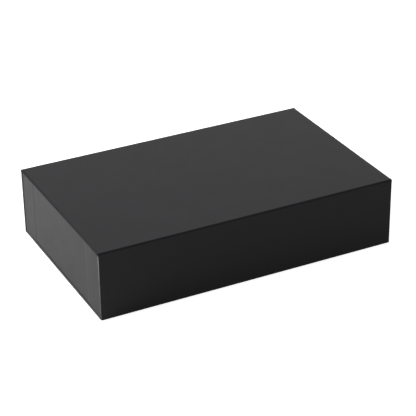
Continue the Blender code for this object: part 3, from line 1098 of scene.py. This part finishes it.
class FinishBoardsAndMetal(bpy.types.Operator):
    """Materials of the boards, corner tapes, magnets and steel discs under the papers"""
    bl_idname = "storage_box.boards_and_metal"
    bl_label = "Boards and metal"

    def execute(self, context):
        tone = colours()
        board, tape = greyboard(), kraft_tape()
        nickel = plated_metal("nickel_barrel_plated", tone.nickel, 0.28, 0.0005)
        zinc = plated_metal("zinc_plated_stamped_steel", tone.zinc, 0.38, 0.0008)
        finishes = (("_board", board), ("corner_stay", tape), ("flap_magnet", nickel), ("keeper", zinc))
        for name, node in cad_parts.items():
            for part, finish in finishes:
                if part in name:
                    node.data.materials.clear()
                    node.data.materials.append(finish)
        return {"FINISHED"}


# ---------------------------------------------------------------- studio


def looked_at(tree, by_camera, by_gloss):
    """A level for camera and glass rays, one for mirror rays, nought for the rays that only carry light."""
    rays = add_node(tree, "ShaderNodeLightPath").outputs
    seen = add_node(
        tree, "ShaderNodeMath", {0: rays["Is Camera Ray"], 1: rays["Is Transmission Ray"]},
        operation="MAXIMUM",
    )
    seen = add_node(tree, "ShaderNodeMath", {0: seen, 1: by_camera}, operation="MULTIPLY")
    return add_node(
        tree, "ShaderNodeMath", {0: rays["Is Glossy Ray"], 1: by_gloss, 2: seen},
        operation="MULTIPLY_ADD",
    ).outputs[0]


def sweep_paper():
    """Matt white paper sweep. Where it is looked at it is lifted towards white, and keeps its shadow."""
    tone = colours().floor
    made, tree, shader = new_material(
        "sweep_paper_matt", tone, Roughness=0.9, Specular_IOR_Level=0.1, Emission_Color=(1, 1, 1, 1),
    )
    tooth_spot = 0.002       # coarser than the real one
    place = add_node(tree, "ShaderNodeTexCoord").outputs["Object"]
    tooth = add_node(
        tree, "ShaderNodeTexNoise",
        {"Vector": place, "Scale": 1 / tooth_spot, "Detail": 3, "Roughness": FINE_SHARE},
    )
    tree.links.new(shades(tree, tooth, tone, 0.99, 1.01), shader.inputs["Base Color"])
    lifted = looked_at(tree, studio().whitening, studio().floor_sheen)
    tree.links.new(lifted, shader.inputs["Emission Strength"])
    return made


def light_room(strength):
    """A grey room for the light, plain white where it is looked at. Gloss mirrors a pale backdrop behind
    the box and a darker room in front."""
    world = bpy.data.worlds.new("studio_room")
    world.use_nodes = True
    tree = world.node_tree
    background = tree.nodes["Background"]
    background.inputs["Color"].default_value = (1, 1, 1, 1)
    way = add_node(tree, "ShaderNodeTexCoord").outputs["Generated"]
    behind = add_node(tree, "ShaderNodeSeparateXYZ", {0: way}).outputs["Y"]
    setting = studio()
    mirrored = add_node(
        tree, "ShaderNodeMapRange",
        {
            "Value": behind, "From Min": setting.sheen_from, "From Max": setting.sheen_to,
            "To Min": setting.front_sheen, "To Max": setting.backdrop_sheen,
        },
    )
    level = add_node(
        tree, "ShaderNodeMapRange", {"Value": looked_at(tree, 1.0, mirrored), "To Min": strength},
    )
    tree.links.new(level.outputs[0], background.inputs["Strength"])
    bpy.context.scene.world = world


def add_lamp(name, place, aim, wide, tall, watts):
    lamp = bpy.data.lights.new(name, "AREA")
    lamp.shape = "RECTANGLE"
    lamp.size = wide
    lamp.size_y = tall
    lamp.energy = watts
    obj = bpy.data.objects.new(name, lamp)
    bpy.context.scene.collection.objects.link(obj)
    obj.location = place
    obj.rotation_euler = (Vector(aim) - Vector(place)).to_track_quat("-Z", "Y").to_euler()
    return obj


def place_camera():
    setting = studio()
    turn, rise = setting.azimuth, setting.elevation
    back = Vector((
        math.sin(turn) * math.cos(rise), -math.cos(turn) * math.cos(rise), math.sin(rise),
    ))
    right = UP.cross(back).normalized()
    above = back.cross(right)
    c, s = math.cos(setting.roll), math.sin(setting.roll)
    right, above = right * c + above * s, above * c - right * s
    place = Matrix((right, above, back)).transposed().to_4x4()
    place.translation = Vector((setting.aim_x, 0, setting.aim_z)) + back * setting.distance
    camera = bpy.data.cameras.new("camera")
    camera.sensor_width = 36
    camera.lens = setting.lens
    obj = bpy.data.objects.new("camera", camera)
    bpy.context.scene.collection.objects.link(obj)
    obj.matrix_world = place
    bpy.context.scene.camera = obj


class SetUpStudio(bpy.types.Operator):
    """Floor, lamps, room light and camera"""
    bl_idname = "storage_box.studio"
    bl_label = "Studio"

    def execute(self, context):
        setting = studio()
        shape = bmesh.new()
        bmesh.ops.create_grid(shape, x_segments=1, y_segments=1, size=FLOOR_HALF)
        bmesh.ops.translate(shape, verts=shape.verts, vec=(0, 0, -FLOOR_GAP))
        floor = new_object("floor", mesh_from(shape, "floor"), sweep_paper())
        for name, place, (wide, tall), watts in LAMPS:
            add_lamp(name, place, LAMP_AIM, wide, tall, getattr(setting, watts))
        light_room(setting.room)
        place_camera()
        context.scene.view_settings.view_transform = "Standard"
        return {"FINISHED"}


STEPS = (
    MakeCoverPapers, MakeFoldPapers, MakeLinings, MakeTrayPapers, MakeDiscPrints,
    FinishBoardsAndMetal, SetUpStudio,
)


class StorageBoxPanel(bpy.types.Panel):
    """Lists the steps that dress the box"""
    bl_idname = "VIEW3D_PT_storage_box"
    bl_label = "Storage Box"
    bl_space_type = "VIEW_3D"
    bl_region_type = "UI"
    bl_category = "Storage Box"

    def draw(self, context):
        for step in STEPS:
            self.layout.operator(step.bl_idname)
        for group in ("sizes", "colours", "studio"):
            settings = getattr(context.scene.storage_box, group)
            box = self.layout.box()
            for name in settings.__annotations__:
                box.prop(settings, name)


CLASSES = (PaperSizes, PaperColours, StudioSettings, StorageBoxSettings, *STEPS, StorageBoxPanel)


def register():
    for made in CLASSES:
        bpy.utils.register_class(made)
    bpy.types.Scene.storage_box = bpy.props.PointerProperty(type=StorageBoxSettings)


def unregister():
    del bpy.types.Scene.storage_box
    for made in reversed(CLASSES):
        bpy.utils.unregister_class(made)


def main():
    register()
    for step in STEPS:
        group, name = step.bl_idname.split(".")
        getattr(getattr(bpy.ops, group), name)()


if __name__ == "__main__":
    main()
